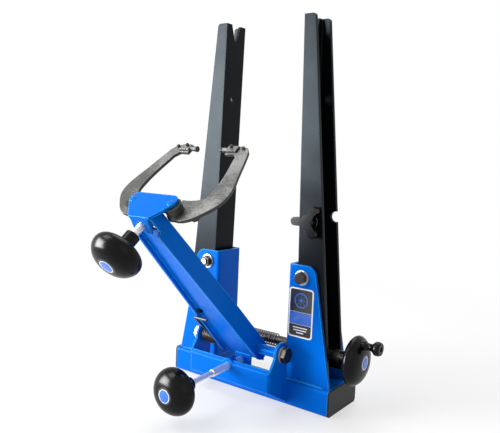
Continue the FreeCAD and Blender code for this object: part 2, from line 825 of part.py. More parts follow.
# ---- caliper arm --------------------------------------------------------------------------
def arm_wedge(inset, low, high, t0, t1):
    """The space between the arm's tapering sides, each moved in by an inset."""
    a = arm_half(low) - inset
    b = arm_half(high) - inset
    return prism([(-a, t0, low), (a, t0, low), (b, t0, high), (-b, t0, high)], (0, t1 - t0, 0))


def caliper_arm():
    """Two side plates and the web set back between them."""
    foot_radius = (arm_back_foot_t - arm_front_t) / 2
    foot_t = (arm_back_foot_t + arm_front_t) / 2
    reach = arm_length + 2 * arm_back_foot_t
    wide = arm_foot_width
    outline = [(arm_front_t, arm_foot_s), (arm_front_t, arm_notch_s),
               (arm_web_t, arm_notch_s + arm_notch_rise), (arm_web_t, reach),
               (arm_back_top_t, reach), (arm_back_foot_t, arm_taper_s),
               (arm_back_foot_t, arm_foot_s)]
    side = prism([(-wide, t, s) for t, s in outline], (2 * wide, 0, 0))
    side = side.fuse(rod(foot_radius, (-wide, foot_t, arm_foot_s), AXIS_X, 2 * wide))
    low = arm_foot_s - foot_radius - overcut
    outer = arm_wedge(0, low, reach, arm_front_t - overcut, arm_back_foot_t + overcut)
    inner = arm_wedge(arm_sheet, low - overcut, reach + overcut, arm_front_t - 2 * overcut,
                      arm_back_foot_t + 2 * overcut)
    shape = side.common(outer.cut(inner))
    web = arm_wedge(0, arm_web_start, arm_web_end, arm_web_t, arm_web_t + arm_sheet)
    shape = shape.fuse(web)
    shape = shape.cut(rod(arm_bolt_radius + running_gap, (-wide, 0, 0), AXIS_X, 2 * wide))
    above = block((-wide, -wide, plate_under), (wide, wide, arm_length + wide))
    return shape.cut(head_space_in_arm(above)).removeSplitter()


def arm_nose():
    """The tab under the web's end, which the radial screw pushes on."""
    tab = to_arm(block((-nose_half_width, nose_face_y, nose_bottom),
                       (nose_half_width, nose_face_y + nose_thickness, ear_pivot_z)))
    behind = block((-arm_foot_width, arm_web_t, -arm_length),
                   (arm_foot_width, arm_length, arm_length))
    return tab.cut(behind)


def spring_leg():
    """The torsion spring's leg, up along the side plate, with its hook across the front."""
    side_room = spring_leg_wire + side_gap
    foot = Vec(-arm_half(0) - side_room, spring_leg_t, spring_leg_s)
    bend = Vec(-arm_half(hook_s) - side_room, arm_front_t - side_room, hook_s)
    run = bend - foot
    leg = Part.makeCylinder(spring_leg_wire, run.Length, foot, run)
    leg = leg.fuse(Part.makeSphere(spring_leg_wire, bend))
    return leg.fuse(Part.makeCylinder(spring_leg_wire, hook_end_x - bend.x, bend, AXIS_X))


def arm_edge_pin():
    """A round-headed pin on the web, just above the spring's hook."""
    edge_pin_x = arm_sheet + edge_pin_gap + edge_pin_radius - arm_half(edge_pin_s)
    ball = Part.makeSphere(edge_pin_radius, Vec(edge_pin_x, arm_web_t, edge_pin_s))
    far = 2 * edge_pin_radius
    front = block((edge_pin_x - far, arm_web_t - far, edge_pin_s - far),
                  (edge_pin_x + far, arm_web_t, edge_pin_s + far))
    return ball.common(front)


# ---- caliper head -------------------------------------------------------------------------
def head_plate():
    outline = [(head_half_width, head_back_t), (head_half_width, head_side_t),
               (head_front_half, head_front_t), (-head_front_half, head_front_t),
               (-head_half_width, head_side_t), (-head_half_width, head_back_t)]
    plate = prism([(x, t, plate_under) for x, t in outline], (0, 0, head_sheet))
    corners = [(x, t, 0) for x in (-head_half_width, head_half_width)
               for t in (head_back_t, head_side_t)]
    return plate.makeFillet(head_corner_radius, edges_along(plate, AXIS_Z, corners))


def head_fork():
    """The flange below the plate's front edge, slotted from below for the jaw screw."""
    section = [(head_front_t, head_top), (head_front_t - fork_lean, fork_bottom),
               (head_front_t - fork_lean + head_sheet, fork_bottom),
               (head_front_t + head_sheet, head_top)]
    fork = prism([(-fork_half_width, t, s) for t, s in section], (2 * fork_half_width, 0, 0))
    start = head_front_t - 2 * fork_lean
    through = 3 * fork_lean + head_sheet
    fork = fork.cut(rod(fork_slot_half, (0, start, jaw_screw_s), AXIS_Y, through))
    return fork.cut(block((-fork_slot_half, start, fork_bottom - overcut),
                          (fork_slot_half, start + through, jaw_screw_s)))


def caliper_head():
    shape = head_plate().fuse(head_fork())
    for sign in (-1, 1):
        shape = shape.cut(rod(jaw_bolt_radius, (sign * jaw_pivot_x, jaw_pivot_t,
                                                plate_under - overcut),
                              AXIS_Z, head_sheet + 2 * overcut))
    return shape


def jaw_screw_nut():
    """The threaded block between the arm's side plates, welded under the head plate."""
    half = jaw_nut_half
    shape = block((-half, jaw_nut_front, jaw_screw_s - half), (half, jaw_nut_back, plate_under))
    return shape.cut(rod(jaw_screw_radius + running_gap, (0, jaw_nut_front - overcut,
                                                          jaw_screw_s),
                         AXIS_Y, jaw_nut_back - jaw_nut_front + 2 * overcut))


def jaw_pivot_bolts():
    solids = []
    start = jaw_bottom - side_gap - jaw_nut_height - jaw_bolt_end
    for sign in (-1, 1):
        x = sign * jaw_pivot_x
        shank = rod(jaw_bolt_radius, (x, jaw_pivot_t, start), AXIS_Z, head_top - start)
        head = turned([(0, 0), (jaw_bolt_head_radius, 0),
                       (0.86 * jaw_bolt_head_radius, 0.52 * jaw_bolt_head_height),
                       (0.54 * jaw_bolt_head_radius, 0.87 * jaw_bolt_head_height),
                       (0, jaw_bolt_head_height)], (x, jaw_pivot_t, head_top), AXIS_Z)
        solids.append(shank.fuse(head))
    return Part.makeCompound(solids)


def jaw_pivot_nuts():
    solids = []
    for sign in (-1, 1):
        start = (sign * jaw_pivot_x, jaw_pivot_t, jaw_bottom - side_gap - jaw_nut_height)
        nut = hexagon(jaw_nut_across, start, AXIS_Z, jaw_nut_height)
        solids.append(nut.cut(rod(jaw_bolt_radius, start, AXIS_Z, jaw_nut_height)))
    return Part.makeCompound(solids)


def jaw_washers():
    return Part.makeCompound([
        tube(jaw_hub_radius + 0.6, jaw_bolt_radius,
             (sign * jaw_pivot_x, jaw_pivot_t, hub_top + 0.3), AXIS_Z, jaw_washer_thickness - 0.3)
        for sign in (-1, 1)])


# ---- jaws ---------------------------------------------------------------------------------
jaw_outside = [(30, -17), (50, -13), (62, -1), (70.5, 11), (73.3, 27), (67.5, 51.5), (61, 76),
               (56, 93)]
jaw_toe = [(51, 100), (40, 102), (27, 101), (27, 88), (39, 88.5)]
jaw_inside = [(44.5, 82), (49, 57), (51, 32), (47.5, 17), (38, 12.5), (22, 11.5)]


def spline_edge(points, s):
    curve = Part.BSplineCurve()
    curve.interpolate([Vec(x, t, s) for x, t in points])
    return curve.toShape()


def line_edges(points, s):
    return [Part.LineSegment(Vec(a[0], a[1], s), Vec(b[0], b[1], s)).toShape()
            for a, b in zip(points, points[1:])]


def right_jaw():
    """A curved flat plate with a hub, a short tail for the jaw screw and an inward toe."""
    edges = [spline_edge(jaw_outside, jaw_bottom)]
    edges += line_edges([jaw_outside[-1]] + jaw_toe + [jaw_inside[0]], jaw_bottom)
    edges.append(spline_edge(jaw_inside, jaw_bottom))
    edges += line_edges([jaw_inside[-1], (jaw_pivot_x, jaw_pivot_t), jaw_outside[0]], jaw_bottom)
    shape = Part.Face(Part.Wire(edges)).extrude(Vec(0, 0, jaw_thickness))
    shape = shape.fuse(rod(jaw_root_radius, (jaw_pivot_x, jaw_pivot_t, jaw_bottom), AXIS_Z,
                           jaw_thickness))
    shape = shape.fuse(rod(jaw_hub_radius, (jaw_pivot_x, jaw_pivot_t, jaw_bottom), AXIS_Z,
                           hub_top - jaw_bottom))
    shape = shape.fuse(block((jaw_tail_gap, jaw_pivot_t - jaw_tail_width / 2, jaw_top),
                             (jaw_pivot_x, jaw_pivot_t + jaw_tail_width / 2,
                              jaw_top + jaw_tail_height)))
    shape = shape.cut(block((tip_block_start - overcut, tip_t - tip_block_half, tip_block_bottom),
                            (tip_block_end, tip_t + tip_block_half, tip_block_top)))
    shape = shape.cut(rod(toe_screw_radius, (toe_screw_x, toe_screw_t, jaw_bottom - overcut),
                          AXIS_Z, jaw_thickness + 2 * overcut))
    return shape.cut(rod(jaw_bolt_radius + running_gap, (jaw_pivot_x, jaw_pivot_t,
                                                           jaw_bottom - overcut),
                         AXIS_Z, hub_top - jaw_bottom + 2 * overcut))


def tip_insert():
    """A steel block let into the toe, with the rod that carries the pad."""
    shape = block((tip_block_start, tip_t - tip_block_half, tip_block_bottom),
                  (tip_block_end, tip_t + tip_block_half, tip_block_top))
    rod_start = tip_reach + tip_pad_length
    shape = shape.fuse(rod(tip_rod_radius, (rod_start, tip_t, tip_rod_s), AXIS_X,
                           tip_block_start - rod_start))
    return shape.cut(rod(toe_screw_radius, (tip_screw_x, tip_screw_t,
                                            tip_block_bottom - overcut),
                         AXIS_Z, tip_block_top))


def tip_pad():
    """The round pad that meets the rim."""
    return rod(tip_pad_radius, (tip_reach, tip_t, tip_rod_s), AXIS_X, tip_pad_length)


def toe_screws():
    """One screw through the toe and one through the tip's block, heads up."""
    solids = []
    for x, t, low, high in ((toe_screw_x, toe_screw_t, jaw_bottom, jaw_top),
                            (tip_screw_x, tip_screw_t, tip_block_bottom, tip_block_top)):
        shank = rod(toe_screw_radius, (x, t, low), AXIS_Z, high - low)
        solids.append(shank.fuse(rod(toe_screw_head_radius, (x, t, high), AXIS_Z,
                                     toe_screw_head_height)))
    return Part.makeCompound(solids)


def jaw_stop_nut():
    """A nut welded under the jaw beside its hub."""
    return hexagon(jaw_stop_across, (jaw_stop_x, jaw_stop_t, jaw_bottom - jaw_stop_height),
                   AXIS_Z, jaw_stop_height)


# ---- jaw screw ----------------------------------------------------------------------------
def jaw_screw():
    """A threaded rod whose spool end holds the tails of both jaws."""
    start = jaw_knob_apex + knob_length - knob_shaft_depth
    front = jaw_pivot_t - jaw_tail_width / 2 - spool_gap
    back = jaw_pivot_t + jaw_tail_width / 2 + spool_gap
    shank = rod(jaw_screw_radius, (0, start, jaw_screw_s), AXIS_Y, front - start)
    collar = rod(spool_radius, (0, front - spool_collar, jaw_screw_s), AXIS_Y, spool_collar)
    neck = rod(spool_neck_radius, (0, front, jaw_screw_s), AXIS_Y, back - front)
    end = rod(spool_radius, (0, back, jaw_screw_s), AXIS_Y, spool_collar)
    return shank.fuse(collar).fuse(neck).fuse(end)


def jaw_knob():
    return aimed(hand_knob(jaw_screw_radius + running_gap), (0, jaw_knob_apex, jaw_screw_s),
                 AXIS_Y)


def jaw_knob_cap():
    return aimed(knob_cap(), (0, jaw_knob_apex, jaw_screw_s), AXIS_Y)


# ---- every piece --------------------------------------------------------------------------
def all_pieces():
    cap = end_cap()
    bracket = upright_bracket()
    jaw = right_jaw()
    pieces = {
        "base_channel": base_channel(),
        "left_end_cap": mirrored(cap),
        "right_end_cap": cap,
        "left_bracket": mirrored(bracket),
        "right_bracket": bracket,
        "left_pivot_bolt": pivot_bolt("left"),
        "right_pivot_bolt": pivot_bolt("right"),
        "pivot_nuts": pivot_nuts(),
        "pivot_washers": pivot_washers(),
        "label_plate": label_plate(),
        "caliper_bracket": caliper_bracket(),
        "radial_screw_nut": radial_screw_nut(),
        "arm_pivot_bolt": arm_pivot_bolt(),
        "arm_pivot_nut": arm_pivot_nut(),
        "arm_bolt_washers": arm_bolt_washers(),
        "arm_spacer_tube": arm_spacer_tube(),
        "arm_torsion_spring": arm_torsion_spring(),
        "drive_spring": drive_spring(),
        "clamp_stud": clamp_stud(),
        "clamp_knob": clamp_knob(),
        "clamp_washer": clamp_washer(),
        "clamp_collar": clamp_collar(),
        "drive_screw": drive_screw(),
        "screw_collar": screw_collar(),
        "crank_disc": crank_disc(),
        "crank_cap": aimed(knob_cap(), crank_apex(), Vec(-1, 0, 0)),
        "handle_pin": handle_pin(),
        "crank_handle": crank_handle(),
        "radial_screw": radial_screw(),
        "radial_knob": radial_knob(),
        "radial_knob_cap": radial_knob_cap(),
        "caliper_arm": on_arm(caliper_arm()),
        "arm_nose": on_arm(arm_nose()),
        "arm_edge_pin": on_arm(arm_edge_pin()),
        "spring_leg": on_arm(spring_leg()),
        "caliper_head": on_head(caliper_head()),
        "jaw_screw_nut": on_head(jaw_screw_nut()),
        "jaw_pivot_bolts": on_head(jaw_pivot_bolts()),
        "jaw_pivot_nuts": on_head(jaw_pivot_nuts()),
        "jaw_washers": on_head(jaw_washers()),
        "jaw_screw": on_head(jaw_screw()),
        "jaw_knob": on_head(jaw_knob()),
        "jaw_knob_cap": on_head(jaw_knob_cap()),
    }
    for side in SIDES:
        pieces[side + "_upright"] = upright(side)
        pieces[side + "_pivot_sleeve"] = pivot_sleeve(side)
        pieces[side + "_drive_nut"] = drive_nut(side)
        pieces[side + "_jaw"] = on_head(for_side(jaw, side))
        pieces[side + "_tip_insert"] = on_head(for_side(tip_insert(), side))
        pieces[side + "_tip_pad"] = on_head(for_side(tip_pad(), side))
        pieces[side + "_toe_screws"] = on_head(for_side(toe_screws(), side))
        pieces[side + "_jaw_stop_nut"] = on_head(for_side(jaw_stop_nut(), side))
    return pieces


os.makedirs("parts", exist_ok=True)
for name, shape in all_pieces().items():
    shape.exportStep("parts/" + name + ".step")
    print(name, len(shape.Solids), round(shape.Volume, 1), shape.isValid())
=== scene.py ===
"""Looks of a bicycle wheel truing stand: paint, powder coat, chrome, black knobs, the label's
print, threads, weld beads, the studio floor, its lights and the camera.  Metres, +Z up."""
import json
import math

import bpy
from mathutils import Matrix, Vector


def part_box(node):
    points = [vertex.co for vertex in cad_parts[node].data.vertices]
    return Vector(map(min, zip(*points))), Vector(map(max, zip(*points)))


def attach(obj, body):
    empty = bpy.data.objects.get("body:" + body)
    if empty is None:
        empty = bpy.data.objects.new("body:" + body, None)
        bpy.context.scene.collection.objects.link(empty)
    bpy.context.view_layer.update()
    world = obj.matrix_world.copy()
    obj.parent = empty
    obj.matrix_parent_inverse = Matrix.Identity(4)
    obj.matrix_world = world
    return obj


bl_info = {
    "name": "Truing Stand Looks",
    "version": (1, 0, 0),
    "blender": (4, 5, 0),
    "location": "View3D > Sidebar > Truing Stand",
    "description": "Dresses a packed bicycle wheel truing stand and its studio",
    "category": "Object",
}

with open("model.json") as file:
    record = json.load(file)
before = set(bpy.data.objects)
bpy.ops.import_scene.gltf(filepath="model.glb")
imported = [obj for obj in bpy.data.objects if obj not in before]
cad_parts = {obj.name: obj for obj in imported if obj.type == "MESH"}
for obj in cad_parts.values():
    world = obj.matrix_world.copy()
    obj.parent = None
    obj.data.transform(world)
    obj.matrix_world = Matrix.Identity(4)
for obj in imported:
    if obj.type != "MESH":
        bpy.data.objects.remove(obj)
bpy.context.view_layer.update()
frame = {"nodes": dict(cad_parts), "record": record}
MM = 0.001

# ---- places of the frame, in metres -----------------------------------------------------
SCREW_Y = -5.6 * MM                            # the drive screw's axis, along X
SCREW_Z = 67 * MM
PIVOT = Vector((0, -47.5 * MM, 67 * MM))       # the caliper arm's bolt
HEAD_TILT = math.radians(39)                   # the caliper head's lean on the arm
JAW_SCREW_Z = 236 * MM                         # the jaw screw's height in the head's own frame
RADIAL_CAP = Vector((0, -73 * MM, 44.3 * MM))
RADIAL_AXIS = Vector((0, 0.999263, 0.038388))  # the radial screw rises 2.2 degrees


def head_place():
    """From the caliper head's own frame (x across, y along the jaws, z up) to the row's."""
    return Matrix.Translation(PIVOT) @ Matrix.Rotation(HEAD_TILT, 4, "X")


# ---- settings -----------------------------------------------------------------------------
def colour(name, description, value):
    return bpy.props.FloatVectorProperty(name=name, description=description, subtype="COLOR",
                                         size=3, min=0, max=1, default=value)


def distance(name, description, value):
    return bpy.props.FloatProperty(name=name, description=description, subtype="DISTANCE",
                                   unit="LENGTH", min=0, precision=5, default=value)


class TruingStandColours(bpy.types.PropertyGroup):
    """Colours of the stand's finishes."""
    paint: colour("Paint", "Gloss paint of the base and the arm", (0.0, 0.128, 0.60))
    # painted highlight: a paler blue laid on the rounded edges, standing in for the light they
    # catch
    painted_edge_glint: colour("Glint", "Paint on the rounded edges, where it shines", (0.06, 0.52, 1.0))
    coat: colour("Powder coat", "Coat of the two uprights", (0.0025, 0.003, 0.004))
    jaw: colour("Jaws", "Ground steel of the two jaws", (0.12, 0.12, 0.116))
    steel: colour("Steel", "Bolts, washers and nuts", (0.45, 0.45, 0.46))
    chrome: colour("Chrome", "Screws and rods", (0.86, 0.87, 0.88))
    dark: colour("Dark steel", "Browned bolts and springs", (0.048, 0.043, 0.039))
    knob: colour("Knobs", "Glossy plastic of the hand knobs", (0.002, 0.002, 0.0025))
    cap: colour("Caps", "Discs in the knobs and the band on the label", (0.005, 0.13, 0.62))
    floor: colour("Floor", "Studio floor", (0.90, 0.90, 0.91))


class TruingStandSizes(bpy.types.PropertyGroup):
    """Sizes of the pieces that are added to the frame."""
    thread_pitch: distance("Thread pitch", "Rise of one turn of a screw's ridge", 1.5 * MM)
    thread_height: distance("Thread height", "How far the ridge stands out", 0.35 * MM)
    bead_radius: distance("Weld bead", "Radius of a weld's beads", 2.8 * MM)
    bead_step: distance("Bead step", "Distance between a weld's beads", 3.4 * MM)
    edge_radius: distance("Edge softness", "Rounding that the finishes show on edges", 1.5 * MM)


def colours():
    return bpy.context.scene.truing_stand_colours


def sizes():
    return bpy.context.scene.truing_stand_sizes


# ---- shader maths -------------------------------------------------------------------------
def put(tree, socket, value):
    """Link a flow to a socket, or set the socket's own value."""
    if isinstance(value, Flow):
        tree.links.new(value.socket, socket)
    elif socket.type == "RGBA" and len(value) == 3:
        socket.default_value = (*value, 1)
    else:
        socket.default_value = value


def new_node(tree, kind, settings=None, **inputs):
    """Add a node and return its first output.  An input is named, or i and its number."""
    made = tree.nodes.new(kind)
    for key, value in (settings or {}).items():
        setattr(made, key, value)
    for key, value in inputs.items():
        socket = made.inputs[int(key[1:]) if key[1:].isdigit() else key.replace("_", " ")]
        put(tree, socket, value)
    return Flow(tree, made.outputs[0])


def numbered(values):
    return {"i%d" % i: value for i, value in enumerate(values)}


class Flow:
    """A socket in a node tree, with arithmetic that adds Math or Vector Math nodes."""

    def __init__(self, tree, socket):
        self.tree = tree
        self.socket = socket

    def out(self, name):
        """Another output of the same node, by its name or number."""
        return Flow(self.tree, self.socket.node.outputs[name])

    def node(self, kind, settings=None, **inputs):
        return new_node(self.tree, kind, settings, **inputs)

    def math(self, operation, *values):
        return self.node("ShaderNodeMath", {"operation": operation}, **numbered(values))

    def apply(self, operation, *values):
        return self.math(operation, self, *values)

    def vector(self, operation, *values):
        return self.node("ShaderNodeVectorMath", {"operation": operation},
                         **numbered((self,) + values))

    def __add__(self, other):
        return self.math("ADD", self, other)

    __radd__ = __add__

    def __sub__(self, other):
        return self.math("SUBTRACT", self, other)

    def __rsub__(self, other):
        return self.math("SUBTRACT", other, self)

    def __mul__(self, other):
        return self.math("MULTIPLY", self, other)

    __rmul__ = __mul__

    def __abs__(self):
        return self.math("ABSOLUTE", self)

    def above(self, limit):
        return self.apply("GREATER_THAN", limit)

    def below(self, limit):
        return self.apply("LESS_THAN", limit)

    def largest(self, other):
        return self.apply("MAXIMUM", other)

    def dot(self, other):
        return self.vector("DOT_PRODUCT", other).out("Value")

    def length(self):
        return self.vector("LENGTH").out("Value")

    def axes(self):
        """The X, Y and Z of a vector, as three flows."""
        split = self.node("ShaderNodeSeparateXYZ", Vector=self)
        return [split.out(name) for name in "XYZ"]

    def smooth(self, low, high):
        """Rise from 0 at low to 1 at high, eased between."""
        return self.node("ShaderNodeMapRange", {"interpolation_type": "SMOOTHSTEP"},
                         Value=self, From_Min=low, From_Max=high)

    def choose(self, none, full):
        """A colour between two colours, mixed by this value.  The Mix node's colour sockets
        are inputs 6 and 7 and output 2."""
        return self.node("ShaderNodeMix", {"data_type": "RGBA"}, Factor=self, i6=none,
                         i7=full).out(2)


class Finish:
    """A material with one Principled shader, and the flows that feed it."""
    edge_start = 0.01       # how far the softened normal leans away where an edge begins to show
    edge_full = 0.11        # and where it shows fully

    def __init__(self, name, base, roughness, metallic=0.0, **constants):
        self.material = bpy.data.materials.new(name)
        self.material.use_nodes = True
        self.tree = self.material.node_tree
        self.shader = self.tree.nodes["Principled BSDF"]
        self.roughness = roughness
        self.set(Base_Color=base, Roughness=roughness, Metallic=metallic, **constants)
        coordinates = new_node(self.tree, "ShaderNodeTexCoord")
        self.place = coordinates.out("Object")
        self.facing = coordinates.out("Normal")

    def set(self, **values):
        for key, value in values.items():
            put(self.tree, self.shader.inputs[key.replace("_", " ")], value)

    def noise(self, scale, detail=2.0):
        """Noise from 0 to 1 on the object's own coordinates."""
        return self.place.node("ShaderNodeTexNoise", Vector=self.place, Scale=scale,
                               Detail=detail)

    def vary_roughness(self, spread, flow):
        """Spread the roughness evenly about its own value by a flow from 0 to 1."""
        self.set(Roughness=(self.roughness - spread / 2) + spread * flow)

    def relief(self, height, depth):
        """Bump the surface by a flow, over edges that look softened."""
        self.set(Normal=self.place.node("ShaderNodeBump", Height=height, Strength=1.0,
                                        Distance=depth, Normal=self.soft_edges()))

    def soft_edges(self, radius=None):
        return self.place.node("ShaderNodeBevel", {"samples": 4},
                               Radius=radius or sizes().edge_radius)

    def edge_share(self, radius=None):
        """1 on sharp edges, 0 on flat faces."""
        flat = self.place.node("ShaderNodeNewGeometry").out("True Normal")
        together = self.soft_edges(radius).dot(flat)
        return (1.0 - together).smooth(self.edge_start, self.edge_full)


# ---- finishes -----------------------------------------------------------------------------
PAINT_SHINE = (0.02, 0.35, 1.0, 1.0)           # tints of the paint's and the coat's highlights
COAT_SHINE = (0.70, 0.88, 1.0, 1.0)
# the coat's painted edge highlight
COAT_EDGE_GLINT = (0.05, 0.055, 0.06)
JAW_BLACK = (0.012, 0.012, 0.012)
PRINT_BLACK = (0.006, 0.006, 0.008)
PRINT_PALE = (0.82, 0.83, 0.85)
RING_PALE = (0.75, 0.77, 0.80)
CAP_DISC = 7.0 * MM                            # radii of a knob cap's disc and of its ring
CAP_RING = 7.8 * MM


def paint_finish():
    """Gloss enamel with a faint orange peel, and a painted highlight on its rounded edges."""
    finish = Finish("blue_enamel", colours().paint, 0.25, Specular_IOR_Level=0.10,
                    Specular_Tint=PAINT_SHINE)
    finish.relief(finish.noise(scale=420.0, detail=1.0), depth=0.04 * MM)
    finish.vary_roughness(0.10, finish.noise(scale=60.0))
    # painted highlight: the rounded edges take the paler glint colour in place of the paint
    finish.set(Base_Color=finish.edge_share().choose(colours().paint, colours().painted_edge_glint))
    return finish.material


def coat_finish():
    """Fine-textured powder coat, with a paler painted highlight on its edges."""
    finish = Finish("black_powder_coat", colours().coat, 0.32, Specular_IOR_Level=0.08,
                    Specular_Tint=COAT_SHINE)
    finish.relief(finish.noise(scale=1400.0), depth=0.03 * MM)
    finish.vary_roughness(0.10, finish.noise(scale=35.0))
    # painted highlight: the coat's edges are laid in a paler colour, as if they caught the light
    finish.set(Base_Color=(0.8 * finish.edge_share()).choose(colours().coat, COAT_EDGE_GLINT))
    return finish.material


def jaw_finish():
    """Ground steel on the flat faces, black on the cut edges and the hubs."""
    finish = Finish("ground_steel", colours().jaw, 0.48, 0.6)
    grain = finish.noise(scale=1500.0, detail=3.0)
    upward = head_place().to_3x3() @ Vector((0, 0, 1))
    face = abs(finish.facing.dot(tuple(upward))).smooth(0.86, 0.94)
    x, _, z = finish.place.axes()
    jaw_height = 0.285
    # a gradient, darker towards the bottom and towards -X and paler towards the top and +X,
    # added to the random tone
    paler_up_and_right = 2.2 * x + 3.5 * (z - jaw_height)
    speck = 0.6 * finish.noise(scale=520.0, detail=1.0) - 0.3
    patina_and_gradient = (finish.noise(scale=38.0, detail=3.0) + paler_up_and_right + speck).smooth(0.25, 0.78)
    darker_tone, bright = [tuple(share * v for v in colours().jaw) for share in (0.45, 1.75)]
    finish.relief(grain, depth=0.03 * MM)
    finish.vary_roughness(0.12, grain)
    finish.set(Base_Color=face.choose(JAW_BLACK, patina_and_gradient.choose(darker_tone, bright)),
               Metallic=0.6 * face)
    return finish.material


def steel_finish(name, base, roughness, metallic=1.0):
    finish = Finish(name, base, roughness, metallic)
    finish.relief(finish.noise(scale=700.0), depth=0.02 * MM)
    finish.vary_roughness(0.12, finish.noise(scale=120.0))
    return finish.material


def chrome_finish():
    """Bright plating, only half metallic so that it keeps pale where nothing is mirrored."""
    return Finish("bright_chrome", colours().chrome, 0.16, 0.45).material


def knob_finish():
    """Moulded plastic with a soft shine."""
    finish = Finish("knob_plastic", colours().knob, 0.22, Specular_IOR_Level=0.14)
    finish.vary_roughness(0.10, finish.noise(scale=45.0))
    return finish.material


def matte_finish(name, base, roughness, edge=None, **constants):
    """A dull finish, with its wide edges painted in a colour of their own where one is given: on
    the end cap a darker painted shade.
    """
    finish = Finish(name, base, roughness, **constants)
    finish.relief(finish.noise(scale=1100.0), depth=0.05 * MM)
    # painted shade on the edges: they take the given colour in place of the base
    if edge:
        finish.set(Base_Color=finish.edge_share(radius=3.5 * MM).choose(base, edge))
    return finish.material


def cap_finish(name, centre, axis):
    """A blue disc in a pale ring, inside a black rim, about an axis through a centre."""
    finish = Finish(name, colours().cap, 0.25, Coat_Weight=0.4)
    offset = finish.place.vector("SUBTRACT", tuple(centre))
    reach = offset.vector("CROSS_PRODUCT", tuple(axis)).length()
    ringed = reach.above(CAP_DISC).choose(colours().cap, RING_PALE)
    finish.set(Base_Color=reach.above(CAP_RING).choose(ringed, colours().knob))
    return finish.material


def label_finish():
    """The plate's print: a pale border, a black field, a wheel, a blue band and plain bars."""
    low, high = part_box("label_plate")
    middle_x, middle_z = [(low[i] + high[i]) / 2 for i in (0, 2)]
    half_x, half_z = [(high[i] - low[i]) / 2 for i in (0, 2)]
    bare = 0.2 * MM             # of the paint, around the border
    border = 2.0 * MM
    corner = 2.6 * MM
    wheel_drop = 15.5 * MM      # from the plate's top to the wheel's middle
    rim_radius = 8.6 * MM
    rim_half = 0.7 * MM
    hub_radius = 1.7 * MM
    spoke_width = 0.9 * MM
    spokes = 8
    band_rise = 24 * MM         # from the plate's foot to the band's middle
    band_half = 7.5 * MM
    line = 0.35 * MM            # the band's pale lines, and its corners
    bar_half = 0.65 * MM
    bar_corner = 0.3 * MM
    bars = ((12.4, 10.0), (9.2, 9.0), (6.0, 5.0))      # rises and half lengths, in mm

    finish = Finish("label_print", PRINT_BLACK, 0.3, Coat_Weight=0.3)
    x, _, z = finish.place.axes()
    wheel_x, wheel_z = x - middle_x, z - (high[2] - wheel_drop)
    reach = (wheel_x * wheel_x + wheel_z * wheel_z).apply("SQRT")
    turn = wheel_z.apply("ARCTAN2", wheel_x)

    def inside_box(centre_z, reach_x, reach_z, rounding):
        """1 inside a rounded box in the plate's middle, 0 outside it."""
        past_x = (abs(x - middle_x) - (reach_x - rounding)).largest(0.0)
        past_z = (abs(z - centre_z) - (reach_z - rounding)).largest(0.0)
        return (past_x * past_x + past_z * past_z).below(rounding * rounding)

    def band(half):
        return inside_box(low[2] + band_rise, half_x - border, half, line) * field

    plate = inside_box(middle_z, half_x - bare, half_z - bare, corner + border)
    field = inside_box(middle_z, half_x - border, half_z - border, corner)
    spoke = (abs((turn * (spokes / 2)).apply("SINE")) * reach).below(spoke_width)
    rim = abs(reach - rim_radius).below(rim_half)
    wheel = rim.largest(reach.below(hub_radius)).largest(spoke * reach.below(rim_radius))
    layers = [(plate, PRINT_PALE), (field, PRINT_BLACK), (wheel, colours().cap),
              (band(band_half + line), PRINT_PALE), (band(band_half), colours().cap)]
    for rise, half in bars:
        layers.append((inside_box(low[2] + rise * MM, half * MM, bar_half, bar_corner),
                       PRINT_PALE))
    print_colour = colours().paint
    for mask, shade in layers:
        print_colour = mask.choose(print_colour, shade)
    finish.set(Base_Color=print_colour)
    return finish.material


KNOB_CAPS = {
    "crank_cap": (Vector((0, SCREW_Y, SCREW_Z)), Vector((1, 0, 0))),
    "radial_knob_cap": (RADIAL_CAP, RADIAL_AXIS),
    "jaw_knob_cap": (head_place() @ Vector((0, 0, JAW_SCREW_Z)),
                     head_place().to_3x3() @ Vector((0, 1, 0))),
}


def node_slots():
    """The record's slot of each node."""
    return {part["node"]: part["material_slot"] for part in frame["record"]["subparts"]}


def all_finishes():
    """One material for each of the record's slots."""
    c = colours()
    return {
        "blue_paint": paint_finish(),
        "black_coat": coat_finish(),
        "jaw_steel": jaw_finish(),
        "zinc_steel": steel_finish("zinc_steel", c.steel, 0.30),
        "chrome": chrome_finish(),
        "dark_steel": steel_finish("browned_steel", c.dark, 0.34, 0.9),
        "black_knob": knob_finish(),
        "cap_blue": matte_finish("cap_plain", c.cap, 0.3),
        # the end cap's rounded edges get a painted shade, a near-black laid over its grey
        "end_cap": matte_finish("end_cap_plastic", (0.062, 0.062, 0.064), 0.55,
                                edge=(0.002, 0.002, 0.002), Specular_IOR_Level=0.1),
        "label": label_finish(),
        "pad_rubber": matte_finish("pad_rubber", (0.010, 0.010, 0.011), 0.6),
        "spring_steel": steel_finish("spring_wire", (0.12, 0.115, 0.11), 0.28),
    }


class TRUINGSTAND_OT_finishes(bpy.types.Operator):
    """Give every node of the frame its finish"""
    bl_idname = "truing_stand.finishes"
    bl_label = "Finishes"

    def execute(self, context):
        finishes = all_finishes()
        slots = node_slots()
        for name, node in frame["nodes"].items():
            material = finishes[slots[name]]
            if name in KNOB_CAPS:
                material = cap_finish(name + "_print", *KNOB_CAPS[name])
            node.data.materials.clear()
            node.data.materials.append(material)
        return {"FINISHED"}


# ---- repeated pieces ----------------------------------------------------------------------
BEAD_SMALLEST = (0.85, 0.85, 0.60)             # a bead's least and greatest share of its size
BEAD_LARGEST = (1.10, 1.15, 0.85)
WELD_SEED = 7
WELD_LENGTH = 50 * MM
WELD_INSET = 6 * MM                            # from a bracket's inner end to the first bead


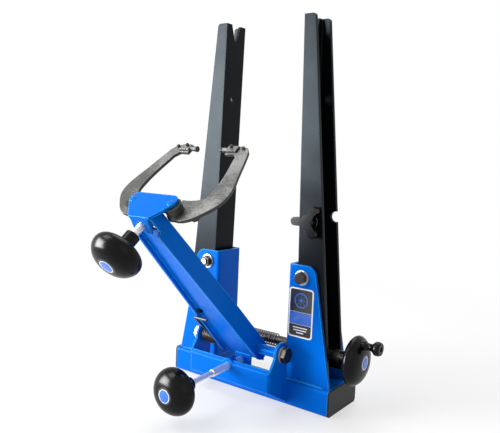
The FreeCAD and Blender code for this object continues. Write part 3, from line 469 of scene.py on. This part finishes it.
def new_tree(name, inputs):
    """An empty geometry tree with named inputs, and its two end nodes."""
    tree = bpy.data.node_groups.new(name, "GeometryNodeTree")
    for label, kind, value in inputs:
        socket = tree.interface.new_socket(label, in_out="INPUT", socket_type=kind)
        if value is not None:
            socket.default_value = value
    tree.interface.new_socket("Geometry", in_out="OUTPUT", socket_type="NodeSocketGeometry")
    return tree, tree.nodes.new("NodeGroupInput"), tree.nodes.new("NodeGroupOutput")


def link_all(tree, *pairs):
    for source, target in pairs:
        tree.links.new(source, target)


def finish_tree(tree, start, end, socket):
    """Realize the instances, set the material and end the tree."""
    real = tree.nodes.new("GeometryNodeRealizeInstances")
    paint = tree.nodes.new("GeometryNodeSetMaterial")
    link_all(tree,
             (socket, real.inputs["Geometry"]),
             (real.outputs["Geometry"], paint.inputs["Geometry"]),
             (start.outputs["Material"], paint.inputs["Material"]),
             (paint.outputs["Geometry"], end.inputs["Geometry"]))


def thread_tree():
    """A three-sided ridge wound along a spiral."""
    tree, start, end = new_tree("thread_ridge", [
        ("Turns", "NodeSocketFloat", 4.0), ("Radius", "NodeSocketFloat", 4 * MM),
        ("Length", "NodeSocketFloat", 10 * MM), ("Ridge", "NodeSocketFloat", 0.5 * MM),
        ("Resolution", "NodeSocketInt", 24), ("Material", "NodeSocketMaterial", None)])
    spiral = tree.nodes.new("GeometryNodeCurveSpiral")
    profile = tree.nodes.new("GeometryNodeCurvePrimitiveCircle")
    sweep = tree.nodes.new("GeometryNodeCurveToMesh")
    profile.inputs["Resolution"].default_value = 3
    sweep.inputs["Fill Caps"].default_value = True
    link_all(tree,
             (start.outputs["Turns"], spiral.inputs["Rotations"]),
             (start.outputs["Radius"], spiral.inputs["Start Radius"]),
             (start.outputs["Radius"], spiral.inputs["End Radius"]),
             (start.outputs["Length"], spiral.inputs["Height"]),
             (start.outputs["Resolution"], spiral.inputs["Resolution"]),
             (start.outputs["Ridge"], profile.inputs["Radius"]),
             (spiral.outputs["Curve"], sweep.inputs["Curve"]),
             (profile.outputs["Curve"], sweep.inputs["Profile Curve"]))
    finish_tree(tree, start, end, sweep.outputs["Mesh"])
    return tree


def bead_tree():
    """Overlapping beads in a row along X, each sized a little differently."""
    tree, start, end = new_tree("weld_beads", [
        ("Count", "NodeSocketInt", 10), ("Step", "NodeSocketFloat", 2 * MM),
        ("Bead", "NodeSocketFloat", 1.5 * MM), ("Seed", "NodeSocketInt", WELD_SEED),
        ("Material", "NodeSocketMaterial", None)])
    line = tree.nodes.new("GeometryNodeMeshLine")
    offset = tree.nodes.new("ShaderNodeCombineXYZ")
    ball = tree.nodes.new("GeometryNodeMeshIcoSphere")
    place = tree.nodes.new("GeometryNodeInstanceOnPoints")
    vary = tree.nodes.new("FunctionNodeRandomValue")
    ball.inputs["Subdivisions"].default_value = 2
    vary.data_type = "FLOAT_VECTOR"
    vary.inputs["Min"].default_value = BEAD_SMALLEST
    vary.inputs["Max"].default_value = BEAD_LARGEST
    link_all(tree,
             (start.outputs["Step"], offset.inputs["X"]),
             (offset.outputs["Vector"], line.inputs["Offset"]),
             (start.outputs["Count"], line.inputs["Count"]),
             (start.outputs["Bead"], ball.inputs["Radius"]),
             (start.outputs["Seed"], vary.inputs["Seed"]),
             (line.outputs["Mesh"], place.inputs["Points"]),
             (ball.outputs["Mesh"], place.inputs["Instance"]),
             (vary.outputs["Value"], place.inputs["Scale"]))
    finish_tree(tree, start, end, place.outputs["Instances"])
    return tree


def grown(name, tree, values, place, body, slot):
    """Run a tree, keep its result as a plain mesh put in its place, and let it ride."""
    seed = bpy.data.objects.new(name + "_source", bpy.data.meshes.new(name + "_source"))
    bpy.context.scene.collection.objects.link(seed)
    modifier = seed.modifiers.new("grow", "NODES")
    modifier.node_group = tree
    for item in tree.interface.items_tree:
        if item.in_out == "INPUT":
            modifier[item.identifier] = values[item.name]
    bpy.context.view_layer.update()
    shown = seed.evaluated_get(bpy.context.evaluated_depsgraph_get())
    mesh = bpy.data.meshes.new_from_object(shown)
    bpy.data.objects.remove(seed)
    mesh.transform(place)
    mesh.name = name
    piece = bpy.data.objects.new(name, mesh)
    bpy.context.scene.collection.objects.link(piece)
    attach(piece, body)
    return piece


def node_material(node):
    return frame["nodes"][node].data.materials[0]


def along_drive_screw(x):
    """Z of a piece's own frame laid along the drive screw, from x on."""
    turned = Matrix.Rotation(math.pi / 2, 4, "Y")
    return Matrix.Translation((x, SCREW_Y, SCREW_Z)) @ turned


def along_jaw_screw(y):
    """Z of a piece's own frame laid along the jaw screw, from y in the head's frame on."""
    turned = Matrix.Rotation(-math.pi / 2, 4, "X")
    return head_place() @ Matrix.Translation((0, y, JAW_SCREW_Z)) @ turned


class TRUINGSTAND_OT_threads(bpy.types.Operator):
    """Wind the ridges of the screws' threads where no nut runs over them"""
    bl_idname = "truing_stand.threads"
    bl_label = "Threads"

    def execute(self, context):
        tree = thread_tree()
        # piece, its screw and body, the screw's radius, the ridge's length and place
        runs = (
            ("drive_thread_middle", "drive_screw", "crank", 5 * MM, 42 * MM,
             along_drive_screw(-21 * MM)),
            ("drive_thread_right", "drive_screw", "crank", 5 * MM, 14.5 * MM,
             along_drive_screw(97 * MM)),
            ("jaw_thread", "jaw_screw", "jaw_rod", 4 * MM, 16 * MM,
             along_jaw_screw(-46.5 * MM)),
        )
        height = sizes().thread_height
        slots = node_slots()
        for name, node, body, radius, length, place in runs:
            # the ridge is a triangle about its middle, whose corner stands one height out
            values = {"Turns": length / sizes().thread_pitch, "Radius": radius - height / 2,
                      "Length": length, "Ridge": 1.5 * height, "Resolution": 20,
                      "Material": node_material(node)}
            grown(name, tree, values, place, body, slots[node])
        return {"FINISHED"}


class TRUINGSTAND_OT_welds(bpy.types.Operator):
    """Lay the weld beads at the brackets' feet"""
    bl_idname = "truing_stand.welds"
    bl_label = "Weld beads"

    def execute(self, context):
        tree = bead_tree()
        step = sizes().bead_step
        values = {"Count": int(WELD_LENGTH / step) + 1, "Step": step,
                  "Bead": sizes().bead_radius, "Seed": WELD_SEED,
                  "Material": node_material("base_channel")}
        for side in ("left", "right"):
            low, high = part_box(side + "_bracket")
            start_x = min(abs(low[0]), abs(high[0])) + WELD_INSET
            if side == "left":
                start_x = -start_x - WELD_LENGTH
            for end, y in (("front", low[1]), ("back", high[1])):
                grown(side + "_" + end + "_weld", tree, values,
                      Matrix.Translation((start_x, y, low[2])), "stand", "blue_paint")
        return {"FINISHED"}


# ---- stage ----------------------------------------------------------------------------------
CAMERA_PLACE = Vector((0.435864, -0.634188, 0.308304))
CAMERA_YAW = 0.6315
CAMERA_PITCH = 0.1091
CAMERA_ROLL = 0.0396
CAMERA_LENS = 42.892
CAMERA_SENSOR = 36.0
CAMERA_NEAR = 0.01
WHITE = (1, 1, 1)
STUDIO_LIGHT = 0.25                            # the world's strength on the object
BACKGROUND = 1.0                               # and where it is seen
FLOOR_REACH = 6.0
FLOOR_DROP = 0.3 * MM                          # below the part's underside
FLOOR_WHITE = 0.58                             # the share of plain white beside the part
FLOOR_MELT = (0.30, 0.95)                      # and the distances over which it rises to 1
LAMP_AIM = Vector((0, -0.05, 0.18))
# name, place, width, watts, and whether the lamp lights more than gloss
LAMPS = (
    ("key_lamp", (-0.7, -0.9, 1.6), 0.9, 18, True),
    ("side_lamp", (-1.20, -1.45, 0.42), 0.75, 38, True),
    ("sheen_lamp", (-1.25, -1.35, 0.45), 1.2, 108, False),
    ("fill_lamp", (1.6, -0.9, 0.8), 1.2, 2, True),
    ("top_lamp", (-0.1, 0.6, 1.9), 1.4, 20, True),
)


def camera_matrix():
    """The camera's place and axes from its yaw, its pitch down and its roll."""
    look = Vector((-math.sin(CAMERA_YAW) * math.cos(CAMERA_PITCH),
                   math.cos(CAMERA_YAW) * math.cos(CAMERA_PITCH), -math.sin(CAMERA_PITCH)))
    right = Vector((math.cos(CAMERA_YAW), math.sin(CAMERA_YAW), 0))
    up = right.cross(look)
    across = math.cos(CAMERA_ROLL) * right + math.sin(CAMERA_ROLL) * up
    upward = -math.sin(CAMERA_ROLL) * right + math.cos(CAMERA_ROLL) * up
    turn = Matrix((across, upward, -look)).transposed()
    return Matrix.Translation(CAMERA_PLACE) @ turn.to_4x4()


def add_camera():
    data = bpy.data.cameras.new("studio_camera")
    data.lens = CAMERA_LENS
    data.sensor_width = CAMERA_SENSOR
    data.clip_start = CAMERA_NEAR
    camera = bpy.data.objects.new("studio_camera", data)
    camera.matrix_world = camera_matrix()
    bpy.context.scene.collection.objects.link(camera)
    bpy.context.scene.camera = camera


def add_lamp(name, place, width, watts, lights_all):
    """A square area lamp that faces the stand."""
    data = bpy.data.lights.new(name, "AREA")
    data.size = width
    data.energy = watts
    lamp = bpy.data.objects.new(name, data)
    lamp.location = place
    lamp.rotation_euler = (LAMP_AIM - Vector(place)).to_track_quat("-Z", "Y").to_euler()
    lamp.visible_diffuse = lights_all
    bpy.context.scene.collection.objects.link(lamp)


def seen_directly(tree):
    """1 on rays from the camera, off gloss and through glass, 0 on light's own rays."""
    path = new_node(tree, "ShaderNodeLightPath")
    camera, glossy, through = [path.out(name) for name in
                               ("Is Camera Ray", "Is Glossy Ray", "Is Transmission Ray")]
    return (camera + glossy + through).apply("MINIMUM", 1.0)


def studio_world():
    """White where it is seen, a plain soft light elsewhere."""
    world = bpy.data.worlds.new("studio")
    world.use_nodes = True
    tree = world.node_tree
    tree.nodes.clear()
    light, seen = [new_node(tree, "ShaderNodeBackground", Color=WHITE, Strength=strength)
                   for strength in (STUDIO_LIGHT, BACKGROUND)]
    mixed = new_node(tree, "ShaderNodeMixShader", i0=seen_directly(tree), i1=light, i2=seen)
    put(tree, tree.nodes.new("ShaderNodeOutputWorld").inputs["Surface"], mixed)
    bpy.context.scene.world = world


def floor_finish():
    """A pale floor that melts into the white around it."""
    finish = Finish("pale_floor", colours().floor, 0.7, Specular_IOR_Level=0.2)
    tree = finish.tree
    far = finish.place.length().smooth(*FLOOR_MELT)
    clear = new_node(tree, "ShaderNodeEmission", Color=WHITE)
    share = seen_directly(tree) * (FLOOR_WHITE + (1 - FLOOR_WHITE) * far)
    mixed = new_node(tree, "ShaderNodeMixShader", i0=share,
                     i1=Flow(tree, finish.shader.outputs[0]), i2=clear)
    put(tree, tree.nodes["Material Output"].inputs["Surface"], mixed)
    return finish.material


class TRUINGSTAND_OT_stage(bpy.types.Operator):
    """Set up the floor, the lights, the world and the camera"""
    bl_idname = "truing_stand.stage"
    bl_label = "Stage"

    def execute(self, context):
        mesh = bpy.data.meshes.new("floor")
        corners = [(x * FLOOR_REACH, y * FLOOR_REACH, -FLOOR_DROP)
                   for x, y in ((-1, -1), (1, -1), (1, 1), (-1, 1))]
        mesh.from_pydata(corners, [], [(0, 1, 2, 3)])
        floor = bpy.data.objects.new("floor", mesh)
        floor.data.materials.append(floor_finish())
        context.scene.collection.objects.link(floor)
        for lamp in LAMPS:
            add_lamp(*lamp)
        studio_world()
        add_camera()
        context.scene.view_settings.view_transform = "Standard"
        return {"FINISHED"}


# ---- add-on ---------------------------------------------------------------------------------
STEPS = (TRUINGSTAND_OT_finishes, TRUINGSTAND_OT_threads, TRUINGSTAND_OT_welds,
         TRUINGSTAND_OT_stage)


class TRUINGSTAND_PT_panel(bpy.types.Panel):
    """The stand's settings and steps"""
    bl_idname = "TRUINGSTAND_PT_panel"
    bl_label = "Truing Stand"
    bl_space_type = "VIEW_3D"
    bl_region_type = "UI"
    bl_category = "Truing Stand"

    def draw(self, context):
        for settings in (context.scene.truing_stand_colours, context.scene.truing_stand_sizes):
            for name in settings.__annotations__:
                self.layout.prop(settings, name)
        for step in STEPS:
            self.layout.operator(step.bl_idname)


CLASSES = (TruingStandColours, TruingStandSizes) + STEPS + (TRUINGSTAND_PT_panel,)


def register():
    for cls in CLASSES:
        bpy.utils.register_class(cls)
    bpy.types.Scene.truing_stand_colours = bpy.props.PointerProperty(type=TruingStandColours)
    bpy.types.Scene.truing_stand_sizes = bpy.props.PointerProperty(type=TruingStandSizes)


def unregister():
    del bpy.types.Scene.truing_stand_sizes
    del bpy.types.Scene.truing_stand_colours
    for cls in reversed(CLASSES):
        bpy.utils.unregister_class(cls)


def main():
    register()
    for step in STEPS:
        group, name = step.bl_idname.split(".")
        getattr(getattr(bpy.ops, group), name)()


if __name__ == "__main__":
    main()
